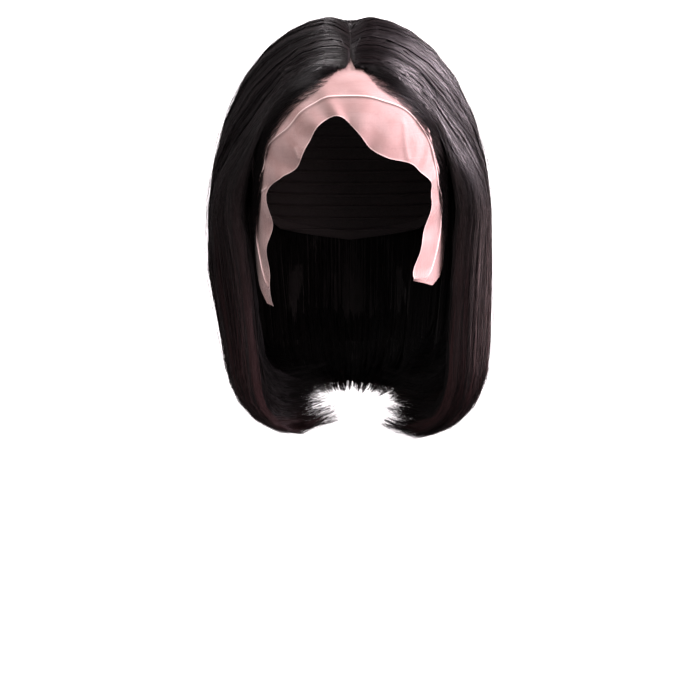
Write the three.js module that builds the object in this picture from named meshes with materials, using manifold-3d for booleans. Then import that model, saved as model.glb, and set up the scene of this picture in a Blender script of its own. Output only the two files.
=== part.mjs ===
// Lace front wig: a straight, centre-parted bob on a thin cap, with a sheer lace panel at the front.
// Millimetres, +Z up. The wig faces -Y and the viewer's left is -X. The origin is the point inside
// the cap where the crown of a head sits, and a drop is a distance below it.

import * as THREE from "three";
import { mergeVertices } from "three/addons/utils/BufferGeometryUtils.js";
import Module from "manifold-3d";

const wasm = await Module();
wasm.setup();

// Head form that the cap and the lace lie on, measured from its upright axis
const head = {
  halfWidth: 76,
  front: 94,
  back: 95,
  crown: 95, // height of the crown above the widest level
  axisY: 4,
  squareness: 2.2,
  taper: 0.03, // how much the sides draw in for each millimetre below the widest level
  domeShare: 0.8, // share of the reach within which height is read from the plan
};

// Cap: foundation from the lace seam over the crown to the nape
const cap = { wall: 1.2, seamAhead: 24, rows: 8, seamColumns: 7, rimColumns: 11 };
const capRim = [
  { bearing: 72, drop: 99 },
  { bearing: 90, drop: 108 },
  { bearing: 110, drop: 127 },
  { bearing: 140, drop: 150 },
  { bearing: 180, drop: 158 },
];

// Lace: net panel from the seam to its free edge, with a pleat raised inside the hairline. Its rows are
// shares of the way from the seam to the pleat, the pleat itself, and shares from there to the free edge.
const lace = { wall: 1.0, seamGap: 0.9, columns: 46, ripple: 1.1, ripplePitch: 1.9, rippleEase: 3 };
const pleat = { height: 1.2, half: 3.5, widest: 0.12, first: 0.3, last: 0.86 };
const laceRows = [0, 0.34, 0.68, "before", "pleat", "after", 0.5, 1];
const rowsBehindPleat = 3;

// One row for each section across the lace, from the tip of the left tab to the end of the right one.
// The back edge is given by its drop and how far ahead of the axis it lies, which is at the seam unless
// stated, the free edge as seen from the front, and the pleat by the drop at which it crosses the section.
const laceSections = [
  { side: -1, backDrop: 212, backAhead: 50, pleatDrop: 213, edgeX: -57, edgeDrop: 214.5 },
  { side: -1, backDrop: 193, backAhead: 29, pleatDrop: 192, edgeX: -60.5, edgeDrop: 191.5 },
  { side: -1, backDrop: 170, backAhead: 18, pleatDrop: 170, edgeX: -61.5, edgeDrop: 170 },
  { side: -1, backDrop: 148, backAhead: 13, pleatDrop: 149, edgeX: -58, edgeDrop: 150.5 },
  { side: -1, backDrop: 122, backAhead: 15, pleatDrop: 125, edgeX: -62.5, edgeDrop: 127.5 },
  { side: -1, backDrop: 97, pleatDrop: 110, edgeX: -50.5, edgeDrop: 118 },
  { side: -1, backDrop: 72, pleatDrop: 95, edgeX: -39, edgeDrop: 110 },
  { side: -1, backDrop: 46, pleatDrop: 78, edgeX: -32, edgeDrop: 95 },
  { side: -1, backDrop: 25, pleatDrop: 65, edgeX: -25, edgeDrop: 83 },
  { side: -1, backDrop: 11, pleatDrop: 59, edgeX: -15.5, edgeDrop: 74.5 },
  { side: -1, backDrop: 5, pleatDrop: 57, edgeX: -5, edgeDrop: 75 },
  { side: 1, backDrop: 3.6, pleatDrop: 57, edgeX: 5.5, edgeDrop: 86 },
  { side: 1, backDrop: 6, pleatDrop: 58, edgeX: 15, edgeDrop: 97.5 },
  { side: 1, backDrop: 15, pleatDrop: 66, edgeX: 26.5, edgeDrop: 104 },
  { side: 1, backDrop: 36, pleatDrop: 84, edgeX: 42, edgeDrop: 107 },
  { side: 1, backDrop: 66, pleatDrop: 101, edgeX: 52, edgeDrop: 113 },
  { side: 1, backDrop: 97, pleatDrop: 116, edgeX: 60, edgeDrop: 122 },
  { side: 1, backDrop: 122, backAhead: 15, pleatDrop: 130, edgeX: 60.5, edgeDrop: 134.5 },
  { side: 1, backDrop: 147, backAhead: 14, pleatDrop: 151, edgeX: 56, edgeDrop: 154.5 },
  { side: 1, backDrop: 167, backAhead: 18, pleatDrop: 171, edgeX: 51, edgeDrop: 174 },
  { side: 1, backDrop: 187, backAhead: 33, pleatDrop: 189, edgeX: 46.5, edgeDrop: 190.5 },
  { side: 1, backDrop: 198.5, backAhead: 53, pleatDrop: 197, edgeX: 47, edgeDrop: 195.5 },
];

// Hair: the outer form, measured from the same axis, and its clearance over the cap
const hair = {
  halfWidth: 110,
  front: 104,
  back: 111,
  squareness: 2.3,
  depth: 15,
  edgeDepth: 4, // depth at the face edge, where the fall wraps forward
  leastDepth: 1.8,
  edgeDraw: 0.18, // share of the reach lost at the face edge
  edgeShare: 0.14, // share of the way round over which that edge rounds off
  faceBearing: 62, // degrees from straight ahead to the face edge
  clearance: 3.3,
  partHalf: 0.6,
  partFront: -75,
  partBack: 22,
  partFlare: 10, // how far the parting opens on each side at the hairline
  flareShare: 0.14, // share of the way round over which it closes
  flareCurve: 1.5,
  crownShare: 0.62, // share of the way round where the side falls end and the back begins
  splitShare: 0.0025,
  crownRing: 0.035,
};

// How the hair lifts off the cap at the parting and swells beside it, from hairline to crown
const partLift = { hairline: 4.8, crown: 11.4, swellHairline: 1.2, swellCrown: 5.4, swellReach: 0.09 };

// How strands hang, one row for each station from the face edge round to the centre of the back: the
// level fullDrop at which they hang clear, how late they spread on the way there, the lean inwards
// below leanAt, and the turn under from turnAt at the ends, by its radius and its angle
const hang = {
  left: [
    { share: 0, fullDrop: 150, late: 2, leanAt: 150, lean: 0.12, turnAt: 270, radius: 44, turn: 106 },
    { share: 0.12, fullDrop: 146, late: 1.25, leanAt: 182, lean: 0.19, turnAt: 258, radius: 58, turn: 104 },
    { share: 0.25, fullDrop: 142, late: 0.76, leanAt: 190, lean: 0.2, turnAt: 247, radius: 68, turn: 100 },
    { share: 0.42, fullDrop: 138, late: 0.79, leanAt: 180, lean: 0.19, turnAt: 246, radius: 60, turn: 96 },
    { share: 0.6, fullDrop: 130, late: 1.15, leanAt: 160, lean: 0.15, turnAt: 244, radius: 52, turn: 90 },
    { share: 1, fullDrop: 130, late: 1.1, leanAt: 130, lean: 0.16, turnAt: 231, radius: 45, turn: 75 },
  ],
  right: [
    { share: 0, fullDrop: 150, late: 2, leanAt: 150, lean: 0.05, turnAt: 268, radius: 50, turn: 98 },
    { share: 0.12, fullDrop: 146, late: 1.25, leanAt: 200, lean: 0.04, turnAt: 258, radius: 60, turn: 101 },
    { share: 0.25, fullDrop: 142, late: 0.76, leanAt: 215, lean: 0.035, turnAt: 250, radius: 66, turn: 100 },
    { share: 0.42, fullDrop: 138, late: 0.79, leanAt: 200, lean: 0.08, turnAt: 247, radius: 60, turn: 96 },
    { share: 0.6, fullDrop: 130, late: 1.15, leanAt: 160, lean: 0.12, turnAt: 244, radius: 52, turn: 90 },
    { share: 1, fullDrop: 130, late: 1.1, leanAt: 130, lean: 0.16, turnAt: 231, radius: 45, turn: 75 },
  ],
};

// Share of a strand's length spent on the dome and on the fall; the rest turns under
const strand = { dome: 0.42, fall: 0.74 };

// Locks of uneven width stand as rounded ridges on a backing and end in free tips. Depths are shares of
// the depth of the hair under its outer form, and lengths are shares of a strand.
const backing = { hem: 0.92, hemDepth: 0.55, domeRows: 7, crowding: 1.5, fallRows: 2, turnRows: 3 };
const lock = { groove: 0.26, sunk: 0.1, narrow: 0.6, wide: 1.4, shoulders: [0.3, 0.72] };
const tip = { start: 0.85, outer: 0.22, core: 0.5, inner: 0.68, rows: 3, width: 0.84, blunt: 0.94 };
const tipEnd = { shortest: 0.95, longest: 1 };
const lockCount = { side: 10, back: 12 };
const scatter = { pitch: 12.9898, offset: 4.1, gain: 43758.5453 };

// Points closer than this are one, and halvings that find a bearing
const weld = 1e-4;
const halvings = 40;

const { clamp, degToRad, lerp, radToDeg, smoothstep } = THREE.MathUtils;

// Shapes shared by the pieces

function planRadius(bearing, halfWidth, front, back, squareness) {
  const across = Math.abs(Math.sin(bearing)) / halfWidth;
  const along = Math.abs(Math.cos(bearing)) / (Math.cos(bearing) > 0 ? front : back);
  return (across ** squareness + along ** squareness) ** (-1 / squareness);
}

function atBearing(bearing, radius, z) {
  return new THREE.Vector3(radius * Math.sin(bearing), head.axisY - radius * Math.cos(bearing), z);
}

function headReach(bearing, off) {
  return planRadius(bearing, head.halfWidth + off, head.front + off, head.back + off, head.squareness);
}

function headSpread(drop) {
  const rise = Math.max(1 - drop / head.crown, 0);
  return Math.sqrt(1 - rise * rise);
}

// A point on the head form, pushed out by off
function headPoint(bearing, drop, off) {
  const below = Math.max(drop - head.crown, 0);
  const rise = Math.max(1 - drop / head.crown, 0);
  const radius = headReach(bearing, off) * headSpread(drop) - head.taper * below;
  return atBearing(bearing, radius, (head.crown + off) * rise - head.crown - below);
}

// Distance from the crown along the head's surface, and back
function arcAt(drop) {
  return head.crown * Math.acos(Math.max(1 - drop / head.crown, 0)) + Math.max(drop - head.crown, 0);
}

function dropAt(arc) {
  const quarter = (head.crown * Math.PI) / 2;
  return arc < quarter ? head.crown * (1 - Math.cos(arc / head.crown)) : head.crown + arc - quarter;
}

// The bearing, from 0 to 90 degrees, at which a measure that falls with the bearing drops to a target
function bearingWhere(measure, target) {
  let low = 0;
  let high = Math.PI / 2;
  for (let step = 0; step < halvings; step += 1) {
    const middle = (low + high) / 2;
    if (measure(middle) > target) low = middle;
    else high = middle;
  }
  return low;
}

function bearingAhead(ahead, drop) {
  return bearingWhere((bearing) => head.axisY - headPoint(bearing, drop, 0).y, ahead);
}

function bearingAcross(across, drop) {
  return bearingWhere((bearing) => -headPoint(bearing, drop, 0).x, -across);
}

// Value of a named column at a key, eased between the rows of a table
function column(rows, key, at, name) {
  const next = Math.max(1, rows.findIndex((row) => row[key] >= at));
  const from = rows[next - 1];
  const to = rows[next];
  return lerp(from[name], to[name], (at - from[key]) / (to[key] - from[key]));
}

// Closed solid between an outer and an inner grid of points, whose rows may close on themselves
function shell(outer, inner, looped) {
  const position = [];
  const triangle = (a, b, c) => {
    if (a.equals(b) || b.equals(c) || c.equals(a)) return;
    for (const corner of [a, b, c]) position.push(corner.x, corner.y, corner.z);
  };
  const quad = (a, b, c, d) => {
    triangle(a, b, c);
    triangle(a, c, d);
  };
  const lastRow = outer.length - 1;
  const count = outer[0].length;
  const steps = looped ? count : count - 1;
  for (let j = 0; j < steps; j += 1) {
    const k = (j + 1) % count;
    for (let i = 0; i < lastRow; i += 1) {
      quad(outer[i][j], outer[i + 1][j], outer[i + 1][k], outer[i][k]);
      quad(inner[i][j], inner[i][k], inner[i + 1][k], inner[i + 1][j]);
    }
    quad(outer[0][j], outer[0][k], inner[0][k], inner[0][j]);
    quad(outer[lastRow][j], inner[lastRow][j], inner[lastRow][k], outer[lastRow][k]);
  }
  for (let i = 0; !looped && i < lastRow; i += 1) {
    quad(outer[i][0], inner[i][0], inner[i + 1][0], outer[i + 1][0]);
    quad(outer[i][steps], outer[i + 1][steps], inner[i + 1][steps], inner[i][steps]);
  }
  const geometry = new THREE.BufferGeometry();
  geometry.setAttribute("position", new THREE.Float32BufferAttribute(position, 3));
  return faceOut(mergeVertices(geometry, weld));
}

// Turns a closed geometry's faces outwards
function faceOut(geometry) {
  const point = geometry.attributes.position;
  const index = geometry.index.array;
  const [a, b, c] = [new THREE.Vector3(), new THREE.Vector3(), new THREE.Vector3()];
  let volume = 0;
  for (let i = 0; i < index.length; i += 3) {
    a.fromBufferAttribute(point, index[i]);
    b.fromBufferAttribute(point, index[i + 1]);
    c.fromBufferAttribute(point, index[i + 2]);
    volume += a.dot(b.cross(c));
  }
  for (let i = 0; volume < 0 && i < index.length; i += 3) {
    [index[i], index[i + 1]] = [index[i + 1], index[i]];
  }
  return geometry;
}

function toSolid(geometry) {
  return new wasm.Manifold(
    new wasm.Mesh({
      numProp: 3,
      vertProperties: new Float32Array(geometry.attributes.position.array),
      triVerts: new Uint32Array(geometry.index.array),
    }),
  );
}

// One body from a backing and the strips that grow out of it
function fuse(geometries) {
  const solid = geometries.map(toSolid).reduce((whole, piece) => whole.add(piece));
  const mesh = solid.getMesh();
  const geometry = new THREE.BufferGeometry();
  geometry.setAttribute("position", new THREE.Float32BufferAttribute(mesh.vertProperties, mesh.numProp));
  geometry.setIndex(Array.from(mesh.triVerts));
  return geometry;
}

function gridOf(rows, columns, pointAt) {
  return Array.from({ length: rows }, (_, i) => Array.from({ length: columns }, (_, j) => pointAt(i, j)));
}

// Cap

// Bearings and drops of the cap's edge, from the middle of the lace seam round the right-hand side
function capEdge() {
  const seamBearing = bearingAhead(cap.seamAhead, head.crown);
  const seamAcross = cap.seamAhead * Math.tan(seamBearing);
  const edge = [];
  for (let i = 0; i <= cap.seamColumns; i += 1) {
    const across = seamAcross * Math.sin((Math.PI / 2) * (i / cap.seamColumns));
    const bearing = Math.atan2(across, cap.seamAhead);
    const spread = Math.min(cap.seamAhead / (Math.cos(bearing) * headReach(bearing, 0)), 1);
    edge.push({ bearing, drop: head.crown * (1 - Math.sqrt(1 - spread * spread)) });
  }
  for (let i = 1; i <= cap.rimColumns; i += 1) {
    const bearing = lerp(seamBearing, Math.PI, i / cap.rimColumns);
    const degrees = radToDeg(bearing);
    edge.push({ bearing, drop: column(capRim, "bearing", degrees, "drop") });
  }
  return edge;
}

function capGeometry() {
  const right = capEdge();
  const left = right.slice(1, -1).reverse();
  const edge = [...right, ...left.map(({ bearing, drop }) => ({ bearing: -bearing, drop }))];
  const wall = (off) =>
    gridOf(cap.rows + 1, edge.length, (i, j) => {
      const { bearing, drop } = edge[j];
      return i === 0 ? headPoint(0, 0, off) : headPoint(bearing, dropAt((arcAt(drop) * i) / cap.rows), off);
    });
  return shell(wall(cap.wall), wall(0), true);
}

// Lace

// Curve through one point of each section
function acrossLace(pointOf) {
  return new THREE.CatmullRomCurve3(laceSections.map(pointOf), false, "catmullrom");
}

const seamAhead = cap.seamAhead + lace.seamGap;
const backEdge = acrossLace(({ side, backDrop, backAhead = seamAhead }) =>
  headPoint(side * bearingAhead(backAhead, backDrop), backDrop, 0),
);
const freeEdge = acrossLace(({ edgeX, edgeDrop }) =>
  headPoint(Math.sign(edgeX) * bearingAcross(Math.abs(edgeX), edgeDrop), edgeDrop, 0),
);
const pleatLine = acrossLace(({ pleatDrop }, i) => new THREE.Vector3(i, 0, -pleatDrop));

// Bearing and distance from the crown of a point close to the head form
function onHead(point) {
  const bearing = Math.atan2(point.x, head.axisY - point.y);
  const spread = Math.hypot(point.x, point.y - head.axisY) / headReach(bearing, 0);
  const nearCrown = spread < head.domeShare;
  const drop = nearCrown ? head.crown * (1 - Math.sqrt(1 - spread * spread)) : -point.z;
  return { bearing, arc: arcAt(drop) };
}

function laceGeometry() {
  const wall = (off) =>
    gridOf(laceRows.length, lace.columns, (i, j) => {
      const across = j / (lace.columns - 1);
      const back = onHead(backEdge.getPoint(across));
      const edge = onHead(freeEdge.getPoint(across));
      const span = edge.arc - back.arc;
      const crossed = (arcAt(-pleatLine.getPoint(across).z) - back.arc) / (span || 1);
      const middle = clamp(crossed, pleat.first, pleat.last);
      const half = Math.min(pleat.half / Math.abs(span || 1), pleat.widest);
      const share = laceShare(i, middle, half);
      const raised = laceRows[i] === "pleat" ? pleat.height : 0;
      const wave = lace.ripple * share ** lace.rippleEase * (1 + Math.sin(j * lace.ripplePitch));
      const drop = dropAt(lerp(back.arc, edge.arc, share));
      return headPoint(lerp(back.bearing, edge.bearing, share), drop, off + raised + wave);
    });
  return shell(wall(lace.wall), wall(0), false);
}

// Share of the way from the back edge to the free edge for a named or numbered row
function laceShare(i, middle, half) {
  const row = laceRows[i];
  if (row === "before") return middle - half;
  if (row === "pleat") return middle;
  if (row === "after") return middle + half;
  return i < rowsBehindPleat ? row * (middle - half) : lerp(middle + half, 1, row);
}

// Hair

function bearingOf(share) {
  return lerp(degToRad(hair.faceBearing), Math.PI, share);
}

// Outer reach of the hair at its widest level, rounded off at the face edge
function hairReach(share) {
  const inEdge = 1 - Math.min(share / hair.edgeShare, 1);
  const rounded = 1 - hair.edgeDraw * (1 - Math.sqrt(1 - inEdge * inEdge));
  return rounded * planRadius(bearingOf(share), hair.halfWidth, hair.front, hair.back, hair.squareness);
}

function hairDepth(share, along) {
  const inEdge = 1 - Math.min(share / hair.edgeShare, 1);
  const depth = lerp(hair.edgeDepth, hair.depth, Math.sqrt(1 - inEdge * inEdge));
  return depth * lerp(1, backing.hemDepth, smoothstep(along, strand.fall, 1));
}

// Where a strand leaves the parting
function partRoot(side, share) {
  const toCrown = smoothstep(share, 0, hair.crownShare);
  const beyond = share > hair.crownShare ? hair.partHalf : 0;
  const y = lerp(hair.partFront, hair.partBack, toCrown) + beyond;
  const reach = y < head.axisY ? head.front : head.back;
  const spread = (y - head.axisY) / reach;
  const lift = lerp(partLift.hairline, partLift.crown, toCrown);
  const z = head.crown * (Math.sqrt(1 - spread * spread) - 1) + lift;
  const flare = hair.partFlare * (1 - Math.min(share / hair.flareShare, 1)) ** hair.flareCurve;
  const x = share > hair.crownShare ? 0 : side * (hair.partHalf + flare);
  const swell = lerp(partLift.swellHairline, partLift.swellCrown, toCrown);
  return { point: new THREE.Vector3(x, y, z), swell };
}

// The ray to a point from the middle of the head form, and the share of it that reaches over the cap
function overCap(point) {
  const below = Math.max(-head.crown - point.z, 0);
  const ray = point.clone().sub(new THREE.Vector3(0, head.axisY, -head.crown - below));
  const bearing = Math.atan2(ray.x, -ray.y);
  const flat = Math.hypot(ray.x, ray.y) / (headReach(bearing, hair.clearance) - head.taper * below);
  return { ray, share: 1 / Math.hypot(flat, ray.z / (head.crown + hair.clearance)) };
}

// Point on the outer form, with its outward direction, for a strand at a share of the way round
// from the face edge to the centre of the back and a share along its length
function outerForm(side, share, along) {
  const rows = side < 0 ? hang.left : hang.right;
  const value = (name) => column(rows, "share", share, name);
  const bearing = side * bearingOf(share);
  const outward = new THREE.Vector3(Math.sin(bearing), -Math.cos(bearing), 0);
  const reach = hairReach(share);
  if (along < strand.dome) {
    const angle = (Math.PI / 2) * (along / strand.dome);
    const { point: root, swell } = partRoot(side, share);
    const top = root.z + swell * smoothstep(Math.sin(angle), 0, partLift.swellReach);
    const spread = Math.sin(angle) ** value("late");
    const point = atBearing(bearing, reach, 0).sub(root).multiplyScalar(spread).add(root);
    point.z = lerp(-value("fullDrop"), top, Math.cos(angle));
    const over = overCap(point);
    const least = over.share + hair.leastDepth / over.ray.length();
    point.addScaledVector(over.ray, Math.max(least, 1) - 1);
    return { point, normal: outward.multiplyScalar(Math.sin(angle)).setZ(Math.cos(angle)) };
  }
  const turnAt = value("turnAt");
  const fallen = Math.min((along - strand.dome) / (strand.fall - strand.dome), 1);
  const drop = lerp(value("fullDrop"), turnAt, fallen);
  const inset = value("lean") * Math.max(drop - value("leanAt"), 0);
  const turned = degToRad(value("turn")) * Math.max((along - strand.fall) / (1 - strand.fall), 0);
  const radius = value("radius");
  const drawnIn = inset + radius * (1 - Math.cos(turned));
  const point = atBearing(bearing, reach - drawnIn, -drop - radius * Math.sin(turned));
  return { point, normal: outward.multiplyScalar(Math.cos(turned)).setZ(-Math.sin(turned)) };
}

// How far the hair reaches in from a point of its outer form: its own depth, or less over the cap
function innerForm({ point, normal }, depth) {
  const turnedUnder = normal.z < 0;
  if (turnedUnder) return point.clone().addScaledVector(normal, -depth);
  const { ray, share } = overCap(point);
  return point.clone().addScaledVector(ray, Math.max(share, 1 - depth / ray.length()) - 1);
}

// A point in the hair, at a share of its depth under the outer form
function hairPoint(side, share, along, under) {
  const form = outerForm(side, share, Math.min(along, 1));
  return form.point.clone().lerp(innerForm(form, hairDepth(share, along)), under);
}

// Shares along a strand, a set for each of the dome, where they crowd at the parting, the fall and the turn
function stations(start) {
  const span = (from, to, count, power) =>
    Array.from({ length: count }, (_, i) => lerp(from, to, (i / count) ** power));
  return [
    ...span(start, strand.dome, backing.domeRows, backing.crowding),
    ...span(strand.dome, strand.fall, backing.fallRows, 1),
    ...span(strand.fall, backing.hem, backing.turnRows, 1),
    backing.hem,
  ];
}

// A steady number from 0 to 1 for each lock
function vary(i) {
  const wave = Math.sin(i * scatter.pitch + scatter.offset) * scatter.gain;
  return wave - Math.floor(wave);
}

// Where each lock of a fall starts and ends, as shares across the fall, and how far its ridge is sunk
function locksAcross(count) {
  const widths = Array.from({ length: count }, (_, i) => lerp(lock.narrow, lock.wide, vary(i)));
  const whole = widths.reduce((sum, width) => sum + width);
  let end = 0;
  return widths.map((width, i) => {
    const start = end;
    end = i === count - 1 ? 1 : start + width / whole;
    const length = lerp(tipEnd.shortest, tipEnd.longest, vary(i + count));
    return { start, end, sunk: lock.sunk * vary(i + 2 * count), length };
  });
}

// Backing of a fall, with a ridge along each lock. place turns a share from 0 to 1 across the fall
// into a side and a share of the way round.
function backingGeometry(place, locks, start) {
  const along = stations(start);
  const columns = locks.flatMap(({ start: from, end: to, sunk }) => [
    { across: from, under: lock.groove },
    ...lock.shoulders.map((part) => ({ across: lerp(from, to, part), under: sunk })),
  ]);
  columns.push({ across: 1, under: lock.groove });
  const wall = (underOf) =>
    gridOf(along.length, columns.length, (i, j) => {
      const { side, share } = place(columns[j].across);
      return hairPoint(side, share, along[i], underOf(columns[j]));
    });
  const outer = wall(({ under }) => under);
  const inner = wall(() => 1);
  return shell(outer, inner, false);
}

// Free end of a lock: a strip that starts inside the backing and thins to a tip
function tipGeometry(place, { start, end, length }) {
  const middle = (start + end) / 2;
  const half = ((end - start) / 2) * tip.width;
  const profile = [
    { across: -1, outer: tip.core, inner: tip.core },
    { across: 0, outer: tip.outer, inner: tip.inner },
    { across: 1, outer: tip.core, inner: tip.core },
  ];
  const wall = (name) =>
    gridOf(tip.rows + 1, profile.length, (i, j) => {
      const toTip = i / tip.rows;
      const thick = Math.sqrt(1 - tip.blunt * toTip ** 2);
      const { side, share } = place(middle + profile[j].across * half * thick);
      const under = lerp(tip.core, profile[j][name], thick);
      return hairPoint(side, share, lerp(tip.start, length, toTip), under);
    });
  return shell(wall("outer"), wall("inner"), false);
}

function fallGeometry(place, count, start) {
  const locks = locksAcross(count);
  return fuse([backingGeometry(place, locks, start), ...locks.map((one) => tipGeometry(place, one))]);
}

function sidePlace(side) {
  return (across) => ({ side, share: across * (hair.crownShare - hair.splitShare) });
}

function backPlace(across) {
  const fromMiddle = 2 * across - 1;
  const side = fromMiddle < 0 ? -1 : 1;
  return { side, share: lerp(1, hair.crownShare + hair.splitShare, Math.abs(fromMiddle)) };
}

// Assembly

function piece(name, geometry, color, roughness) {
  geometry.computeVertexNormals();
  const mesh = new THREE.Mesh(geometry, new THREE.MeshStandardMaterial({ color, roughness, metalness: 0 }));
  mesh.name = name;
  return mesh;
}

const wig = new THREE.Group();
wig.name = "lace_front_wig";
const crownStart = (strand.dome * Math.asin(hair.crownRing)) / (Math.PI / 2);
wig.add(piece("lace_front", laceGeometry(), 0xd9aea4, 0.8));
wig.add(piece("wig_cap", capGeometry(), 0x1b1716, 0.9));
wig.add(piece("hair_left", fallGeometry(sidePlace(-1), lockCount.side, 0), 0x1a1413, 0.45));
wig.add(piece("hair_right", fallGeometry(sidePlace(1), lockCount.side, 0), 0x1e1615, 0.45));
wig.add(piece("hair_back", fallGeometry(backPlace, lockCount.back, crownStart), 0x171212, 0.45));

export default wig;
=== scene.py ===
import math

import bmesh
import bpy
import numpy as np
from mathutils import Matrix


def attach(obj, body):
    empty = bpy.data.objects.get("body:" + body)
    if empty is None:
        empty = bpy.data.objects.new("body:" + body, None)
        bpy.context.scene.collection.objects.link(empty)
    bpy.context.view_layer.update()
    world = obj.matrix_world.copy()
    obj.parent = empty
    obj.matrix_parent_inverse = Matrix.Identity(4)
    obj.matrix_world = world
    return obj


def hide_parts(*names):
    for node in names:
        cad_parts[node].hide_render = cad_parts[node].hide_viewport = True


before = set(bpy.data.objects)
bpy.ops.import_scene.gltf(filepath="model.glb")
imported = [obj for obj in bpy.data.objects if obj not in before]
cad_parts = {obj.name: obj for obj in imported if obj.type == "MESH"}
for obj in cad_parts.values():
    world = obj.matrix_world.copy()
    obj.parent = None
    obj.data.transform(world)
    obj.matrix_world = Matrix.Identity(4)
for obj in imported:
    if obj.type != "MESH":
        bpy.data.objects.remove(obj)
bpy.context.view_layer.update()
print("frame loaded:", ", ".join(sorted(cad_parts)))

mm = 0.001  # every size below is in millimetres, and meshes are written in metres
tiny = 1e-9  # keeps a division from zero

# Head form that the cap and the lace lie on, and the form of the hair over it
headForm = dict(
    halfWidth=76, front=94, back=95, crown=95, axisY=4, squareness=2.2, taper=0.03, domeShare=0.8,
)
hairForm = dict(
    halfWidth=110, front=104, back=111, squareness=2.3, clearance=3.3,
    depth=15, edgeDepth=4, leastDepth=1.8, hemDepth=0.55,
    edgeDraw=0.18, edgeShare=0.14, faceBearing=62,
    partHalf=0.6, partFront=-75, partBack=22, partFlare=10, flareShare=0.14, flareCurve=1.5,
    crownShare=0.62, splitShare=0.0025, overlap=0.02,
    domeEnd=0.42, fallEnd=0.74, hemLower=9, hemShare=0.14, pressShare=0.19, pressFrom=0.14, pressTo=0.36,
)
partLift = dict(hairline=4.8, crown=11.4, swellHairline=1.2, swellCrown=5.4, swellReach=0.09)
hangLeft = dict(
    share=[0, 0.12, 0.25, 0.42, 0.6, 1],
    fullDrop=[150, 146, 142, 138, 130, 130], late=[2, 1.25, 0.76, 0.79, 1.15, 1.1],
    leanAt=[150, 182, 190, 180, 160, 130], lean=[0.12, 0.19, 0.2, 0.19, 0.15, 0.16],
    turnAt=[270, 258, 247, 246, 244, 231], radius=[44, 58, 68, 60, 52, 45],
    turn=[106, 104, 100, 96, 90, 75],
)
hangRight = dict(
    share=[0, 0.12, 0.25, 0.42, 0.6, 1],
    fullDrop=[150, 146, 142, 138, 130, 130], late=[2, 1.25, 0.76, 0.79, 1.15, 1.1],
    leanAt=[150, 200, 215, 200, 160, 130], lean=[0.05, 0.04, 0.035, 0.08, 0.12, 0.16],
    turnAt=[268, 258, 250, 247, 244, 231], radius=[50, 60, 66, 60, 52, 45],
    turn=[98, 101, 100, 96, 90, 75],
)


def lerp(start, end, share):
    return start + (end - start) * share


def smoothstep(value, low, high):
    share = np.clip((value - low) / (high - low), 0, 1)
    return share * share * (3 - 2 * share)


def unit(vectors):
    return vectors / np.maximum(np.linalg.norm(vectors, axis=-1, keepdims=True), tiny)


def planRadius(bearing, halfWidth, front, back, squareness):
    across = np.abs(np.sin(bearing)) / halfWidth
    along = np.abs(np.cos(bearing)) / np.where(np.cos(bearing) > 0, front, back)
    return (across ** squareness + along ** squareness) ** (-1 / squareness)


def atBearing(bearing, radius, z):
    x, y = radius * np.sin(bearing), headForm["axisY"] - radius * np.cos(bearing)
    return np.stack(np.broadcast_arrays(x, y, z), axis=-1)


def headReach(bearing, off):
    return planRadius(bearing, headForm["halfWidth"] + off, headForm["front"] + off,
                      headForm["back"] + off, headForm["squareness"])


def headPoint(bearing, drop, off):
    rise = np.maximum(1 - drop / headForm["crown"], 0)
    below = np.maximum(drop - headForm["crown"], 0)
    radius = headReach(bearing, off) * np.sqrt(1 - rise * rise) - headForm["taper"] * below
    return atBearing(bearing, radius, (headForm["crown"] + off) * rise - headForm["crown"] - below)


def arcAt(drop):  # distance from the crown along the head's surface
    crown = headForm["crown"]
    return crown * np.arccos(np.clip(1 - drop / crown, 0, 1)) + np.maximum(drop - crown, 0)


def dropAt(arc):
    crown = headForm["crown"]
    quarter = crown * np.pi / 2
    return np.where(arc < quarter, crown * (1 - np.cos(arc / crown)), crown + arc - quarter)


def onHead(points):  # bearing and distance from the crown of points close to the head form
    x, y = points[..., 0], points[..., 1] - headForm["axisY"]
    bearing = np.arctan2(x, -y)
    spread = np.hypot(x, y) / headReach(bearing, 0)
    fromPlan = headForm["crown"] * (1 - np.sqrt(1 - np.minimum(spread, 1) ** 2))
    return bearing, arcAt(np.where(spread < headForm["domeShare"], fromPlan, -points[..., 2]))


halvings = 40  # steps of a search


def bearingWhere(measure, target):  # where a measure that falls with the bearing drops to a target
    low, high = 0.0, np.pi / 2
    for step in range(halvings):
        middle = (low + high) / 2
        low, high = (middle, high) if measure(middle) > target else (low, middle)
    return low


def throughPoints(points, at):  # smooth curve through points, at shares from 0 to 1
    points = np.asarray(points, float)
    points = np.vstack([2 * points[0] - points[1], points, 2 * points[-1] - points[-2]])
    place = np.clip(at, 0, 1) * (len(points) - 3)
    first = np.minimum(place.astype(int), len(points) - 4)
    t = (place - first)[:, None]
    p0, p1, p2, p3 = (points[first + k] for k in range(4))
    bend = 2 * p0 - 5 * p1 + 4 * p2 - p3
    return p1 + t / 2 * (p2 - p0 + t * (bend + t * (3 * (p1 - p2) + p3 - p0)))


# Form of the hair, by the share round from the face, the share along a strand and the share of depth
def inEdge(share):
    return 1 - np.minimum(share / hairForm["edgeShare"], 1)


def bearingOf(share):
    return lerp(math.radians(hairForm["faceBearing"]), np.pi, share)


def hairReach(share):
    drawn = 1 - hairForm["edgeDraw"] * (1 - np.sqrt(1 - inEdge(share) ** 2))
    return drawn * planRadius(bearingOf(share), hairForm["halfWidth"], hairForm["front"],
                              hairForm["back"], hairForm["squareness"])


def hairDepth(share, along):
    depth = lerp(hairForm["edgeDepth"], hairForm["depth"], np.sqrt(1 - inEdge(share) ** 2))
    return depth * lerp(1, hairForm["hemDepth"], smoothstep(along, hairForm["fallEnd"], 1))


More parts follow.
